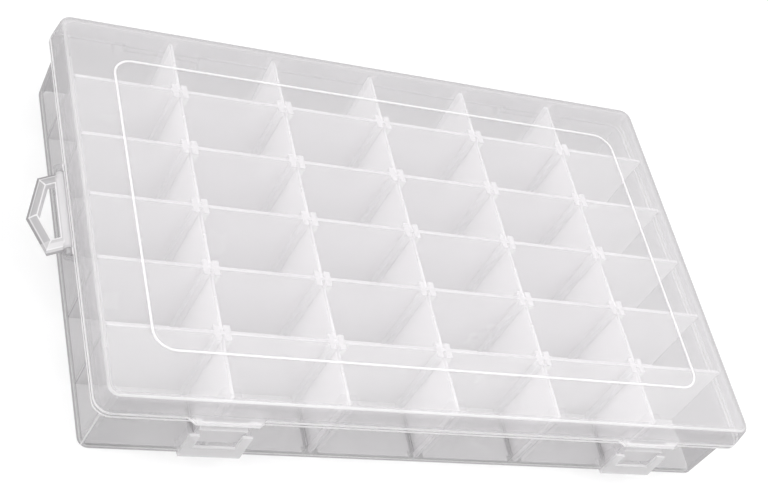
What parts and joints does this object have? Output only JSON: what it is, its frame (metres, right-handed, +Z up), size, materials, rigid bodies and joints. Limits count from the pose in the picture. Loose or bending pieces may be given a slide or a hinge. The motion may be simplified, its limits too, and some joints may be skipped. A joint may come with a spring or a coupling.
{
  "type": "compartment storage box",
  "caption": "Flat clear plastic organiser box with a grid of small cells, lift-out dividers, a hinged snap lid and a swinging hang loop.",
  "frame": {"origin": "centre of the tray's flat underside, under the middle of the grid of cells", "axes": "+X along the length, with the hang loop on the -X side; -Y towards the latches at the front, +Y towards the hinges; +Z up through the lid"},
  "size_m": [0.288, 0.1836, 0.0404],
  "materials": {
    "tray_plastic": "clear moulded polypropylene, satin gloss",
    "lid_plastic": "clear moulded polypropylene, smooth gloss",
    "divider_plastic": "milky clear moulded polypropylene, satin",
    "loop_plastic": "clear moulded polypropylene, satin gloss"
  },
  "bodies": {
    "tray": {"base_tray": "tray_plastic", "divider_r1_c1": "divider_plastic", "divider_r1_c2": "divider_plastic", "divider_r1_c3": "divider_plastic", "divider_r1_c4": "divider_plastic", "divider_r1_c5": "divider_plastic", "divider_r2_c1": "divider_plastic", "divider_r2_c2": "divider_plastic", "divider_r2_c3": "divider_plastic", "divider_r2_c4": "divider_plastic", "divider_r2_c5": "divider_plastic", "divider_r3_c1": "divider_plastic", "divider_r3_c2": "divider_plastic", "divider_r3_c3": "divider_plastic", "divider_r3_c4": "divider_plastic", "divider_r3_c5": "divider_plastic", "divider_r4_c1": "divider_plastic", "divider_r4_c2": "divider_plastic", "divider_r4_c3": "divider_plastic", "divider_r4_c4": "divider_plastic", "divider_r4_c5": "divider_plastic", "divider_r5_c1": "divider_plastic", "divider_r5_c2": "divider_plastic", "divider_r5_c3": "divider_plastic", "divider_r5_c4": "divider_plastic", "divider_r5_c5": "divider_plastic", "divider_r6_c1": "divider_plastic", "divider_r6_c2": "divider_plastic", "divider_r6_c3": "divider_plastic", "divider_r6_c4": "divider_plastic", "divider_r6_c5": "divider_plastic"},
    "lid": {"lid": "lid_plastic"},
    "loop": {"hanging_loop": "loop_plastic"}
  },
  "joints": [
    {"name": "lid_hinge", "type": "hinge", "parent": "tray", "child": "lid", "pos_m": [0, 0.0896, 0.027], "axis": [-1, 0, 0], "range_deg": [0, 180]},
    {"name": "loop_swing", "type": "hinge", "parent": "tray", "child": "loop", "pos_m": [-0.1384, 0, 0.0262], "axis": [0, 1, 0], "range_deg": [-57, 70]}
  ]
}
